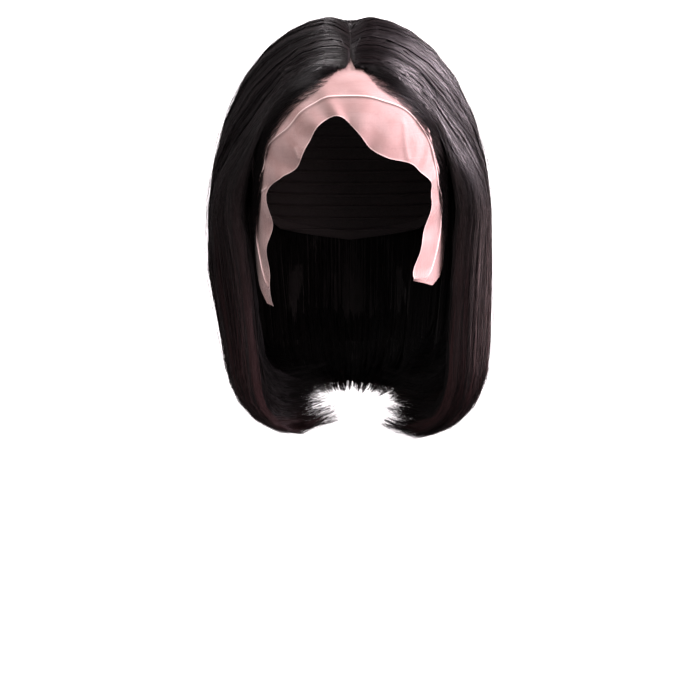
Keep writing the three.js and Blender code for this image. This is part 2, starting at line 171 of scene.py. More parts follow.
def partRoot(side, share):
    toCrown = smoothstep(share, 0, hairForm["crownShare"])
    beyond = share > hairForm["crownShare"]
    alongPart = lerp(hairForm["partFront"], hairForm["partBack"], toCrown)
    y = alongPart + np.where(beyond, hairForm["partHalf"], 0)
    reach = np.where(y < headForm["axisY"], headForm["front"], headForm["back"])
    onCap = headForm["crown"] * (np.sqrt(1 - ((y - headForm["axisY"]) / reach) ** 2) - 1)
    flare = (1 - np.minimum(share / hairForm["flareShare"], 1)) ** hairForm["flareCurve"]
    x = np.where(beyond, 0, side * (hairForm["partHalf"] + hairForm["partFlare"] * flare))
    lift = lerp(partLift["hairline"], partLift["crown"], toCrown)
    swell = lerp(partLift["swellHairline"], partLift["swellCrown"], toCrown)
    return np.stack([x, y, onCap + lift], axis=-1), swell, onCap


def overCap(points):  # rays from the head's middle, and their share at which they leave the cap
    below = np.maximum(-headForm["crown"] - points[..., 2], 0)
    middle = np.stack([0 * below, headForm["axisY"] + 0 * below, -headForm["crown"] - below], axis=-1)
    ray = points - middle
    bearing = np.arctan2(ray[..., 0], -ray[..., 1])
    flat = np.hypot(ray[..., 0], ray[..., 1])
    flat = flat / (headReach(bearing, hairForm["clearance"]) - headForm["taper"] * below)
    return ray, 1 / np.hypot(flat, ray[..., 2] / (headForm["crown"] + hairForm["clearance"]))


def outerForm(side, share, along):
    side, share, along = np.broadcast_arrays(side, share, along)

    def value(name):
        left = np.interp(share, hangLeft["share"], hangLeft[name])
        return np.where(side < 0, left, np.interp(share, hangRight["share"], hangRight[name]))

    bearing = side * bearingOf(share)
    reach = hairReach(share)
    angle = np.pi / 2 * np.clip(along / hairForm["domeEnd"], 0, 1)
    root, swell = partRoot(side, share)[:2]
    top = root[..., 2] + swell * smoothstep(np.sin(angle), 0, partLift["swellReach"])
    spread = (np.sin(angle) ** value("late"))[..., None]
    dome = lerp(root, atBearing(bearing, reach, 0), spread)
    dome[..., 2] = lerp(-value("fullDrop"), top, np.cos(angle))
    ray, leaves = overCap(dome)
    least = leaves + hairForm["leastDepth"] / np.linalg.norm(ray, axis=-1)
    dome = dome + ray * (np.maximum(least, 1) - 1)[..., None]

    fallen = np.clip((along - hairForm["domeEnd"]) / (hairForm["fallEnd"] - hairForm["domeEnd"]), 0, 1)
    drop = lerp(value("fullDrop"), value("turnAt"), fallen)
    inset = value("lean") * np.maximum(drop - value("leanAt"), 0)
    turned = np.maximum((along - hairForm["fallEnd"]) / (1 - hairForm["fallEnd"]), 0)
    turned = turned * np.radians(value("turn"))
    drawnIn = inset + value("radius") * (1 - np.cos(turned))
    fall = atBearing(bearing, reach - drawnIn, -drop - value("radius") * np.sin(turned))

    onDome = along < hairForm["domeEnd"]
    flat = np.where(onDome, np.sin(angle), np.cos(turned))
    up = np.where(onDome, np.cos(angle), -np.sin(turned))
    normal = np.stack([np.sin(bearing) * flat, -np.cos(bearing) * flat, up], axis=-1)
    return np.where(onDome[..., None], dome, fall), normal


def hairPoint(side, share, along, under):
    point, normal = outerForm(side, share, along)
    depth = np.broadcast_to(hairDepth(share, along), normal.shape[:-1])
    ray, leaves = overCap(point)
    reach = np.maximum(leaves, 1 - depth / np.linalg.norm(ray, axis=-1)) - 1
    turnedUnder = (normal[..., 2] < 0)[..., None]
    inner = point + np.where(turnedUnder, -normal * depth[..., None], ray * reach[..., None])
    place = lerp(point, inner, np.broadcast_to(under, depth.shape)[..., None])
    lower = hairForm["hemLower"] * np.exp(-((1 - share) / hairForm["hemShare"]) ** 2)
    place[..., 2] -= lower * smoothstep(along, hairForm["domeEnd"], hairForm["fallEnd"])
    return place


def outwardAt(side, share, along, step=0.004):  # square to the outer form
    along = np.maximum(along, step)
    run = hairPoint(side, share, along + step, 0.0) - hairPoint(side, share, along - step, 0.0)
    later, sooner = np.clip(share + step, 0, 1), np.clip(share - step, 0, 1)
    around = hairPoint(side, later, along, 0.0) - hairPoint(side, sooner, along, 0.0)
    return unit(np.cross(run, around) * side[..., None])


def pressed(points, share, along, off):  # lays the hair by the hairline flat on the lace
    hug = 1 - smoothstep(share, 0, hairForm["pressShare"])
    hug = hug * (1 - smoothstep(along, hairForm["pressFrom"], hairForm["pressTo"]))
    bearing, arc = onHead(points)
    return lerp(points, headPoint(bearing, dropAt(arc), off), hug[..., None])


def sidePlace(side):
    return lambda across: (np.full_like(across, side),
                           np.clip(across, 0, 1) * (hairForm["crownShare"] - hairForm["splitShare"]))


def backPlace(across):
    fromMiddle = np.clip(2 * across - 1, -1, 1)
    share = lerp(1, hairForm["crownShare"] - hairForm["overlap"], np.abs(fromMiddle))
    return np.where(fromMiddle < 0, -1, 1), share


mixSockets = dict(factor=0, first=6, second=7, result=2)  # those of a Mix node for colours


# Shader maths as Python expressions on sockets
class Thread:
    def __init__(self, tree, socket=None):
        self.tree = tree
        self.socket = socket

    def add(self, kind, settings=None, inputs=None, output=0):
        node = self.tree.nodes.new(kind)
        for name, value in (settings or {}).items():
            setattr(node, name, value)
        for name, value in (inputs or {}).items():
            if isinstance(value, Thread):
                self.tree.links.new(value.socket, node.inputs[name])
            else:
                node.inputs[name].default_value = value
        return Thread(self.tree, node.outputs[output])

    def maths(self, operation, first, second=0.0):
        return self.add("ShaderNodeMath", {"operation": operation}, {0: first, 1: second})

    def __add__(self, other):
        return self.maths("ADD", self, other)

    def __sub__(self, other):
        return self.maths("SUBTRACT", self, other)

    def __rsub__(self, other):
        return self.maths("SUBTRACT", other, self)

    def __mul__(self, other):
        return self.maths("MULTIPLY", self, other)

    def __truediv__(self, other):
        return self.maths("DIVIDE", self, other)

    def __rtruediv__(self, other):
        return self.maths("DIVIDE", other, self)

    __radd__ = __add__
    __rmul__ = __mul__

    def between(self, low, high):  # 0 below low, 1 above high, smooth between
        return self.add("ShaderNodeMapRange", {"interpolation_type": "SMOOTHSTEP"},
                        {"Value": self, "From Min": low, "From Max": high})

    def attribute(self, name):
        return self.add("ShaderNodeAttribute", {"attribute_name": name}, output="Fac")

    def colours(self, first, second):  # mixes two colours by this value
        inputs = {mixSockets["factor"]: self, mixSockets["first"]: first, mixSockets["second"]: second}
        return self.add("ShaderNodeMix", {"data_type": "RGBA"}, inputs, output=mixSockets["result"])


def newMaterial(name):
    material = bpy.data.materials.new(name)
    material.use_nodes = True
    tree = material.node_tree
    return material, Thread(tree), tree.nodes["Principled BSDF"]


def feed(thread, shader, sockets):
    for name, value in sockets.items():
        if isinstance(value, Thread):
            thread.tree.links.new(value.socket, shader.inputs[name])
        else:
            shader.inputs[name].default_value = value


# Meshes
def newPiece(name, mesh, material, node):
    piece = bpy.data.objects.new(name, mesh)
    bpy.context.collection.objects.link(piece)
    mesh.materials.append(material)
    mesh.polygons.foreach_set("use_smooth", np.ones(len(mesh.polygons), bool))
    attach(piece, "root")
    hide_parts(node)
    return piece


def gridMesh(name, columns, rows, shape, merge=0):
    # a flat grid whose points are carried to where shape puts them
    bm = bmesh.new()
    bm.loops.layers.uv.new("flat")
    bmesh.ops.create_grid(bm, x_segments=columns, y_segments=rows, size=0.5, calc_uvs=True)
    places = np.array([vert.co[:2] for vert in bm.verts]) + 0.5
    points, values = shape(places[:, 0], places[:, 1])
    for vert, point in zip(bm.verts, points * mm):
        vert.co = point
    mesh = bpy.data.meshes.new(name)
    bm.to_mesh(mesh)
    bm.free()
    for key, value in values.items():
        mesh.attributes.new(key, "FLOAT", "POINT").data.foreach_set("value", value.astype(np.float32))
    if merge:
        bm = bmesh.new()
        bm.from_mesh(mesh)
        bmesh.ops.remove_doubles(bm, verts=bm.verts, dist=merge * mm)
        bmesh.ops.recalc_face_normals(bm, faces=bm.faces)
        bm.to_mesh(mesh)
        bm.free()
    mesh.update()
    return mesh


def setFlatMap(mesh, name, across, along):  # a map in millimetres, from values at the points
    corner = np.empty(len(mesh.loops), np.int32)
    mesh.loops.foreach_get("vertex_index", corner)
    places = np.stack([across[corner], along[corner]], axis=-1)
    layer = mesh.uv_layers.get(name) or mesh.uv_layers.new(name=name)
    layer.data.foreach_set("uv", places.ravel().astype(np.float32))


# Camera at the photograph's place, looking level along +Y
cameraView = dict(across=-7.8, height=-240, distance=2000, widthSeen=530.4, sensor=36)


def makeCamera():
    data = bpy.data.cameras.new("camera")
    data.sensor_width = cameraView["sensor"]
    data.lens = cameraView["sensor"] * cameraView["distance"] / cameraView["widthSeen"]
    camera = bpy.data.objects.new("camera", data)
    at = (cameraView["across"], -cameraView["distance"], cameraView["height"])
    camera.location = [value * mm for value in at]
    camera.rotation_euler = (math.pi / 2, 0, 0)
    bpy.context.collection.objects.link(camera)
    bpy.context.scene.camera = camera


makeCamera()
print("camera placed")

# Lace: sheer net from the seam to its free edge
lace = dict(
    columns=240, rows=72, pleatFrom=0.38, pleatTo=0.62,
    off=0.5, ripple=1.1, ripplePitch=85.5, rippleEase=3,
    pleatHeight=1.2, pleatHalf=3.5, pleatWidest=0.12, pleatFirst=0.3, pleatLast=0.86,
    ridge=0.7, tabFade=0.07, hemWidth=0.7, tiedFrom=(-69, -61), tiedHalf=25,
    edgePoints=400, leastSpan=1e-6,
)
laceLook = dict(
    netPitch=0.62, threadShare=0.36, threadSoft=0.12, slantAcross=0.866, slantAlong=0.5,
    cloudScale=0.06, cloudDetail=3.0, cloudOver=(0.35, 0.65),
    dark=(0.64, 0.41, 0.38, 1), pale=(0.74, 0.51, 0.48, 1), bright=(0.95, 0.76, 0.73, 1),
    knots=(0.012, 0.008, 0.008, 1), brightShare=0.7, netAlpha=0.30, leastAlpha=0.16, brightAlpha=0.72,
    roughness=0.62, specular=0.3, sheen=0.25, sheenRoughness=0.5,
)
# Creases pressed into the net, from one point to another as seen from the front; along each the net is
# lightened as a painted highlight, and the last crease is painted highlight alone, with no height
laceCreases = [
    dict(fromX=39.6, fromDrop=77, toX=42.6, toDrop=104, width=1.6, height=0.8, paintedHighlight=0.3),
    dict(fromX=-39.7, fromDrop=97, toX=-37.5, toDrop=104, width=1.3, height=1.0, paintedHighlight=0.6),
    dict(fromX=-72.5, fromDrop=129, toX=-63.2, toDrop=124.5, width=0.8, height=0.8, paintedHighlight=0.8),
    dict(fromX=31.0, fromDrop=55, toX=35.0, toDrop=61, width=0.8, height=0.7, paintedHighlight=0.7),
    dict(fromX=48.0, fromDrop=60, toX=58.0, toDrop=82, width=0.8, height=1.0, paintedHighlight=0.8),
    dict(fromX=58.0, fromDrop=82, toX=66.5, toDrop=113, width=0.9, height=1.1, paintedHighlight=0.8),
    dict(fromX=60.5, fromDrop=89, toX=64.5, toDrop=114, width=3.0, height=0.0, paintedHighlight=0.35),
]
laceSections = dict(
    side=[-1] * 11 + [1] * 11,
    backDrop=[212, 193, 170, 148, 122, 97, 72, 46, 25, 11, 5,
              3.6, 6, 15, 36, 66, 97, 122, 147, 167, 187, 198.5],
    backAhead=[50, 29, 18, 13, 15] + [24.9] * 12 + [15, 14, 18, 33, 53],
    pleatDrop=[213, 192, 170, 149, 125, 109, 93, 82, 70.5, 62, 58.5,
               58.5, 62, 69.5, 84, 99, 116, 130, 151, 171, 189, 197],
    edgeX=[-57, -60.5, -61.5, -58, -62.5, -50.5, -39, -32, -25, -15.5, -5,
           5.5, 15, 26.5, 42, 52, 60, 60.5, 56, 51, 46.5, 47],
    edgeDrop=[214.5, 191.5, 170, 150.5, 127.5, 118, 110, 95, 83, 74.5, 75,
              86, 97.5, 104, 107, 113, 122, 134.5, 154.5, 174, 190.5, 195.5],
)


def laceEdges():
    back, edge = [], []
    rows = zip(*(laceSections[name] for name in ("side", "backDrop", "backAhead", "edgeX", "edgeDrop")))
    for side, backDrop, backAhead, edgeX, edgeDrop in rows:
        ahead = bearingWhere(lambda b: headForm["axisY"] - headPoint(b, backDrop, 0)[1], backAhead)
        back.append(headPoint(side * ahead, backDrop, 0))
        out = bearingWhere(lambda b: -headPoint(b, edgeDrop, 0)[0], -abs(edgeX))
        edge.append(headPoint(np.sign(edgeX) * out, edgeDrop, 0))
    return np.array(back), np.array(edge)


laceBack, laceEdge = laceEdges()


def laceShape(across, down):
    backPoint, edgePoint = throughPoints(laceBack, across), throughPoints(laceEdge, across)
    pleatDrop = throughPoints([[drop] for drop in laceSections["pleatDrop"]], across)[:, 0]
    backBearing, backArc = onHead(backPoint)
    edgeBearing, edgeArc = onHead(edgePoint)
    span = edgeArc - backArc
    span = np.where(np.abs(span) < lace["leastSpan"], 1, span)
    middle = np.clip((arcAt(pleatDrop) - backArc) / span, lace["pleatFirst"], lace["pleatLast"])
    half = np.minimum(lace["pleatHalf"] / np.abs(span), lace["pleatWidest"])
    rows = [0, lace["pleatFrom"], lace["pleatTo"], 1]
    stops = np.stack([0 * middle, middle - half, middle + half, 0 * middle + 1])
    band = np.clip(np.searchsorted(rows, down, side="right") - 1, 0, len(rows) - 2)
    low, high = np.array(rows)[band], np.array(rows)[band + 1]
    index = np.arange(len(down))
    share = lerp(stops[band, index], stops[band + 1, index], (down - low) / (high - low))
    length = np.linalg.norm(edgePoint - backPoint, axis=-1)
    onTabs = np.minimum(across, 1 - across)
    foldAndHighlight = np.exp(-((share - middle) * length / lace["ridge"]) ** 2)
    foldAndHighlight = foldAndHighlight * smoothstep(onTabs, 0, lace["tabFade"])
    wave = lace["ripple"] * share ** lace["rippleEase"] * (1 + np.sin(across * lace["ripplePitch"]))
    off = lace["off"] + lace["pleatHeight"] * foldAndHighlight + wave
    bearing, drop = lerp(backBearing, edgeBearing, share), dropAt(lerp(backArc, edgeArc, share))
    seen = headPoint(bearing, drop, 0)
    for crease in laceCreases:
        start = np.array([crease["fromX"], -crease["fromDrop"]])
        run = np.array([crease["toX"], -crease["toDrop"]]) - start
        at = np.clip((seen[:, [0, 2]] - start) @ run / (run @ run), 0, 1)
        gap = np.linalg.norm(seen[:, [0, 2]] - start - at[:, None] * run, axis=-1)
        bend = np.exp(-(gap / crease["width"]) ** 2)
        off = off + crease["height"] * bend
        # the crease's painted highlight joins the pleat's fold in the mask that lightens the net
        foldAndHighlight = np.maximum(foldAndHighlight, crease["paintedHighlight"] * bend)
    points = headPoint(bearing, drop, off)
    hem = np.exp(-(((1 - share) * length) / lace["hemWidth"]) ** 2)
    tied = smoothstep(seen[:, 1], *lace["tiedFrom"]) * (np.abs(seen[:, 0]) < lace["tiedHalf"])
    return points, dict(foldAndHighlight=foldAndHighlight, hem=hem, tied=tied, fromSeam=share * length, across=across)


def laceMaterial():
    material, thread, shader = newMaterial("lace net")
    places = thread.add("ShaderNodeUVMap", {"uv_map": "net"})
    split = thread.add("ShaderNodeSeparateXYZ", None, {0: places})
    u = Thread(thread.tree, split.socket.node.outputs["X"])
    v = Thread(thread.tree, split.socket.node.outputs["Y"])

    def threads(value):
        ridge = thread.maths("PINGPONG", value, 0.5) * 2
        gap = 1 - laceLook["threadShare"]
        return ridge.between(gap - laceLook["threadSoft"], gap + laceLook["threadSoft"])

    slantU = u * laceLook["slantAcross"]
    slantV = v * laceLook["slantAlong"]
    first = threads((slantU + slantV) / laceLook["netPitch"])
    second = threads((slantU - slantV) / laceLook["netPitch"])
    third = threads(v / laceLook["netPitch"])
    net = thread.maths("MAXIMUM", thread.maths("MAXIMUM", first, second), third)
    # Lighter net on the pleat's double layer and the hem, and painted highlight along the creases
    bright = thread.maths("MAXIMUM", thread.attribute("foldAndHighlight"), thread.attribute("hem"))
    cloud = thread.add("ShaderNodeTexNoise", None, {
        "Vector": places, "Scale": laceLook["cloudScale"], "Detail": laceLook["cloudDetail"],
    })
    colour = cloud.between(*laceLook["cloudOver"]).colours(laceLook["dark"], laceLook["pale"])
    colour = (bright * laceLook["brightShare"]).colours(colour, laceLook["bright"])
    colour = thread.attribute("tied").colours(colour, laceLook["knots"])  # dark knots under the hair
    alpha = net * laceLook["netAlpha"] + laceLook["leastAlpha"]
    alpha = thread.maths("MAXIMUM", alpha, bright * laceLook["brightAlpha"])
    feed(thread, shader, {
        "Base Color": colour, "Roughness": laceLook["roughness"], "Alpha": alpha,
        "Specular IOR Level": laceLook["specular"], "Sheen Weight": laceLook["sheen"],
        "Sheen Roughness": laceLook["sheenRoughness"],
    })
    return material


def makeLace():
    mesh = gridMesh("lace_front_net", lace["columns"], lace["rows"], laceShape)
    values = {}
    for name in ("fromSeam", "across"):
        values[name] = np.empty(len(mesh.vertices), np.float32)
        mesh.attributes[name].data.foreach_get("value", values[name])
    places = np.linspace(0, 1, lace["edgePoints"])
    middle = throughPoints((laceBack + laceEdge) / 2, places)
    run = np.concatenate([[0], np.cumsum(np.linalg.norm(np.diff(middle, axis=0), axis=-1))])
    setFlatMap(mesh, "net", np.interp(values["across"], places, run), values["fromSeam"])
    piece = newPiece("lace_front_net", mesh, laceMaterial(), "lace_front")
    area = sum(face.area for face in mesh.polygons)
    return piece, area


lacePiece, laceArea = makeLace()
print("lace made, square millimetres:", round(laceArea / mm ** 2))

# Cap: dark stretch net with wefts sewn round the back, and a hem
cap = dict(seamAhead=24, seamColumns=7, rimColumns=11, columns=144, rows=48, wall=1.2, merge=0.05)
capRim = dict(bearing=[72, 90, 110, 140, 180], drop=[99, 108, 127, 150, 158])
capLook = dict(
    weftPitch=9.5, weftOver=(0.72, 0.92), hemOver=(6.5, 8), weaveScale=1400.0, weaveOver=(0.1, 0.6),
    cloudScale=60.0, cloudDetail=4.0, gaps=(0.004, 0.0035, 0.0035, 1), net=(0.020, 0.017, 0.017, 1),
    weft=(0.012, 0.009, 0.009, 1), weftShare=0.7, hem=(0.022, 0.019, 0.019, 1),
    weaveHeight=0.25, weftHeight=1.2, hemHeight=0.8, cloudHeight=0.3, bump=0.8, bumpDepth=0.8,
    roughness=0.75, weftShine=0.2, specular=0.3,
)


def capShape(around, down):
    seamBearing = bearingWhere(lambda b: headForm["axisY"] - headPoint(b, headForm["crown"], 0)[1],
                               cap["seamAhead"])
    half = np.abs(2 * around - 1)
    place = half * (cap["seamColumns"] + cap["rimColumns"])
    toSide = np.clip(place / cap["seamColumns"], 0, 1)
    across = cap["seamAhead"] * math.tan(seamBearing) * np.sin(np.pi / 2 * toSide)
    seam = np.arctan2(across, cap["seamAhead"])
    spread = np.minimum(cap["seamAhead"] / (np.cos(seam) * headReach(seam, 0)), 1)
    seamDrop = headForm["crown"] * (1 - np.sqrt(1 - spread ** 2))
    rim = lerp(seamBearing, np.pi, np.clip((place - cap["seamColumns"]) / cap["rimColumns"], 0, 1))
    rimDrop = np.interp(np.degrees(rim), capRim["bearing"], capRim["drop"])
    onSeam = place <= cap["seamColumns"]
    bearing = np.where(onSeam, seam, rim) * np.where(around < 0.5, -1, 1)
    edgeArc = arcAt(np.where(onSeam, seamDrop, rimDrop))
    points = headPoint(bearing, dropAt(edgeArc * down), cap["wall"] / 2)
    return points, dict(arc=edgeArc * down, toEdge=edgeArc * (1 - down))


def capMaterial():
    material, thread, shader = newMaterial("cap mesh")
    places = thread.add("ShaderNodeTexCoord", output="Object")
    arc = thread.attribute("arc")
    toEdge = thread.attribute("toEdge")
    weft = thread.maths("PINGPONG", arc / capLook["weftPitch"], 0.5) * 2
    weft = weft.between(*capLook["weftOver"])
    hem = 1 - toEdge.between(*capLook["hemOver"])
    weave = thread.add("ShaderNodeTexVoronoi", None, {"Vector": places, "Scale": capLook["weaveScale"]})
    cloud = thread.add("ShaderNodeTexNoise", None, {
        "Vector": places, "Scale": capLook["cloudScale"], "Detail": capLook["cloudDetail"],
    })
    colour = weave.between(*capLook["weaveOver"]).colours(capLook["gaps"], capLook["net"])
    colour = (weft * capLook["weftShare"]).colours(colour, capLook["weft"])
    colour = hem.colours(colour, capLook["hem"])
    height = weave * capLook["weaveHeight"] + weft * capLook["weftHeight"]
    height = height + hem * capLook["hemHeight"] + cloud * capLook["cloudHeight"]
    bump = thread.add("ShaderNodeBump", None, {
        "Strength": capLook["bump"], "Distance": capLook["bumpDepth"] * mm, "Height": height,
    })
    feed(thread, shader, {
        "Base Color": colour, "Roughness": capLook["roughness"] - weft * capLook["weftShine"],
        "Normal": bump, "Specular IOR Level": capLook["specular"],
    })
    return material


def makeCap():
    mesh = gridMesh("wig_cap_mesh", cap["columns"], cap["rows"], capShape, cap["merge"])
    piece = newPiece("wig_cap_mesh", mesh, capMaterial(), "wig_cap")
    area = sum(face.area for face in mesh.polygons)
    wall = piece.modifiers.new("wall", "SOLIDIFY")
    wall.thickness = cap["wall"] * mm
    wall.offset = 0
    return piece, area


capPiece, capArea = makeCap()
print("cap made, square millimetres:", round(capArea / mm ** 2))

# Hair: a dark body under thousands of ribbons combed into locks
# Hair colours; the last is the painted shade given to strands deep inside the hair
hairColour = dict(
    black=(0.0012, 0.0009, 0.0010, 1), brown=(0.0052, 0.0026, 0.0029, 1),
    warm=(0.032, 0.0120, 0.0128, 1), paintedShade=(0.0012, 0.0009, 0.0010, 1),
)
# The warmth of each fall below paints light on the right fall and shade on the left fall and the back
hairLook = dict(
    warmLeftShaded=0.6, warmRightLit=1.0, warmBackShaded=0.4, warmAlong=(0.3, 0.85), warmTint=(0.3, 0.8),
    brownOver=(0.2, 1.0), paintedShadeOver=(0.25, 0.85), roughTint=0.14, roughDepth=0.35, roughness=0.32,
    specular=0.1, coatRoughness=0.27,
)


def hairMaterial(name, warmthAndLight):
    material, thread, shader = newMaterial(name)
    tint = thread.attribute("tint")
    along = thread.attribute("along")
    depth = thread.attribute("depth")
    colour = tint.between(*hairLook["brownOver"]).colours(hairColour["black"], hairColour["brown"])
    # The warm tone low on the falls is the hair's own colour; it is set strongest on the lit right fall and
    # weaker on the left and in the back, as painted light and shade
    warm = along.between(*hairLook["warmAlong"]) * tint.between(*hairLook["warmTint"]) * warmthAndLight
    colour = warm.colours(colour, hairColour["warm"])
    # Deep strands inside the hair turn near black: painted shade
    colour = depth.between(*hairLook["paintedShadeOver"]).colours(colour, hairColour["paintedShade"])
    rough = tint * hairLook["roughTint"] + depth * hairLook["roughDepth"] + hairLook["roughness"]
    feed(thread, shader, {
        "Base Color": colour, "Roughness": rough, "Specular IOR Level": hairLook["specular"],
        "Coat Weight": thread.attribute("gloss"), "Coat Roughness": hairLook["coatRoughness"],
    })
    return material


hairBody = dict(
    columns=96, rows=56, under=0.95, off=0.8, wall=1.0, begin=0.012, end=0.95, faceMargin=0.14,
    fineAcross=500.0, fineAlong=5.0, fineDetail=3.0, fineOver=(0.4, 0.7),
    pale=(0.0036, 0.0024, 0.0025, 1), bump=1.0, bumpDepth=1.0, roughness=0.45, roughFine=0.2, specular=0.3,
)


def bodyMaterial():
    material, thread, shader = newMaterial("hair body")
    across = thread.attribute("across") * hairBody["fineAcross"]
    along = thread.attribute("along") * hairBody["fineAlong"]
    spread = thread.add("ShaderNodeCombineXYZ", None, {"X": across, "Y": along})
    fine = thread.add("ShaderNodeTexNoise", None, {
        "Vector": spread, "Scale": 1.0, "Detail": hairBody["fineDetail"],
    })
    colour = fine.between(*hairBody["fineOver"]).colours(hairColour["black"], hairBody["pale"])
    bump = thread.add("ShaderNodeBump", None, {
        "Strength": hairBody["bump"], "Distance": hairBody["bumpDepth"] * mm, "Height": fine,
    })
    feed(thread, shader, {
        "Base Color": colour, "Roughness": fine * hairBody["roughFine"] + hairBody["roughness"],
        "Normal": bump, "Specular IOR Level": hairBody["specular"],
    })
    return material


def makeBody(name, place, margin, node, material):
    def shape(across, along):
        across = lerp(margin, 1, across)
        side, share = place(across)
        along = lerp(hairBody["begin"], hairBody["end"], along)
        points = hairPoint(side, share, along, hairBody["under"])
        return pressed(points, share, along, hairBody["off"]), dict(across=across, along=along)

    mesh = gridMesh(name, hairBody["columns"], hairBody["rows"], shape)
    piece = newPiece(name, mesh, material, node)
    wall = piece.modifiers.new("wall", "SOLIDIFY")
    wall.thickness = hairBody["wall"] * mm
    wall.offset = 0


strands = dict(
    stations=[0, 0.005, 0.014, 0.03, 0.06, 0.1, 0.15, 0.21, 0.28, 0.35, 0.42, 0.56,
              0.72, 0.79, 0.86, 0.93, 1],
    rootWidth=0.7, tipWidth=0.3, fullWidth=(0.12, 0.75), widthVary=0.45, roll=0.5, rollShare=0.7,
    round=0.9, narrow=0.5, wide=1.5, edgeCurve=1.5, shorten=0.6, shortenCurve=3,
    gatherFrom=0.35, gatherMost=0.92, tipFrom=0.76, drawOver=(0.02, 0.3), swingFrom=0.4,
    looseOver=(0.04, 0.9), waves=(2, 6), wispRidge=0.6, liftOver=(0.06, 0.4),
    earlyCurve=1.5, earlyLeast=0.2, flickFrom=0.88, flickLeast=0.3, onCap=1.4, rootRise=0.009,
    cellAcross=0.1, cellAlong=0.05,
)
# Strands by the face: their roots, how they are combed back and how they lie on the lace
byFace = dict(
    levelShare=0.14, rootSpread=0.13, faceDrop=125, sink=0.3,
    feather=1.6, featherMost=7, featherShare=0.03, featherFrom=(0.03, 0.12), featherTo=(0.12, 0.36),
    pull=7, pullShare=0.11, pullFrom=(-0.02, 0.08), pullTo=(0.34, 0.5), pressOff=1.4, pressMore=1.6,
)
# Tint and gloss of a strand, from its lock's, its wisp's and its own
strandLook = dict(
    lockTint=0.4, wispTint=0.35, ownTint=0.25, lockGloss=0.35, wispGloss=0.4, ownGloss=0.25,
    glossGain=1.5, glossCurve=1.4, deepGloss=0.1, deepOver=(0.2, 0.8), glossRight=1.4,
    rightOver=(0.3, 0.45), dullRoot=(0, 0.03), dullRight=(0.05, 0.15), dullFall=0.78,
    dullOver=(0.25, 0.44),
)


def clumpsOf(rng, across, count):  # the clump that each strand lies in, its middle and its half width
    stops = np.cumsum(rng.uniform(strands["narrow"], strands["wide"], count))
    stops = np.concatenate([[0], stops / stops[-1]])
    which = np.clip(np.searchsorted(stops, across) - 1, 0, count - 1)
    return which, (stops[which] + stops[which + 1]) / 2, (stops[which + 1] - stops[which]) / 2


def pullBack(share, along):  # how far the hair by the face is combed back from it
    pull = byFace["pull"] * (1 - smoothstep(share, 0, byFace["pullShare"]))
    pull = pull * smoothstep(along, *byFace["pullFrom"])
    return pull * (1 - smoothstep(along, *byFace["pullTo"]))


def glossAt(side, share, along, gloss):  # dull by the part and down the fall, stronger on the right
    onRight = (side > 0) * (1 - smoothstep(share, *strandLook["rightOver"]))
    gloss = np.minimum(gloss[:, None] * lerp(1, strandLook["glossRight"], onRight), 1)
    pairs = zip(strandLook["dullRoot"], strandLook["dullRight"])
    gloss = gloss * smoothstep(along, *[lerp(left, right, onRight) for left, right in pairs])
    return gloss * (1 - strandLook["dullFall"] * smoothstep(along, *strandLook["dullOver"]))


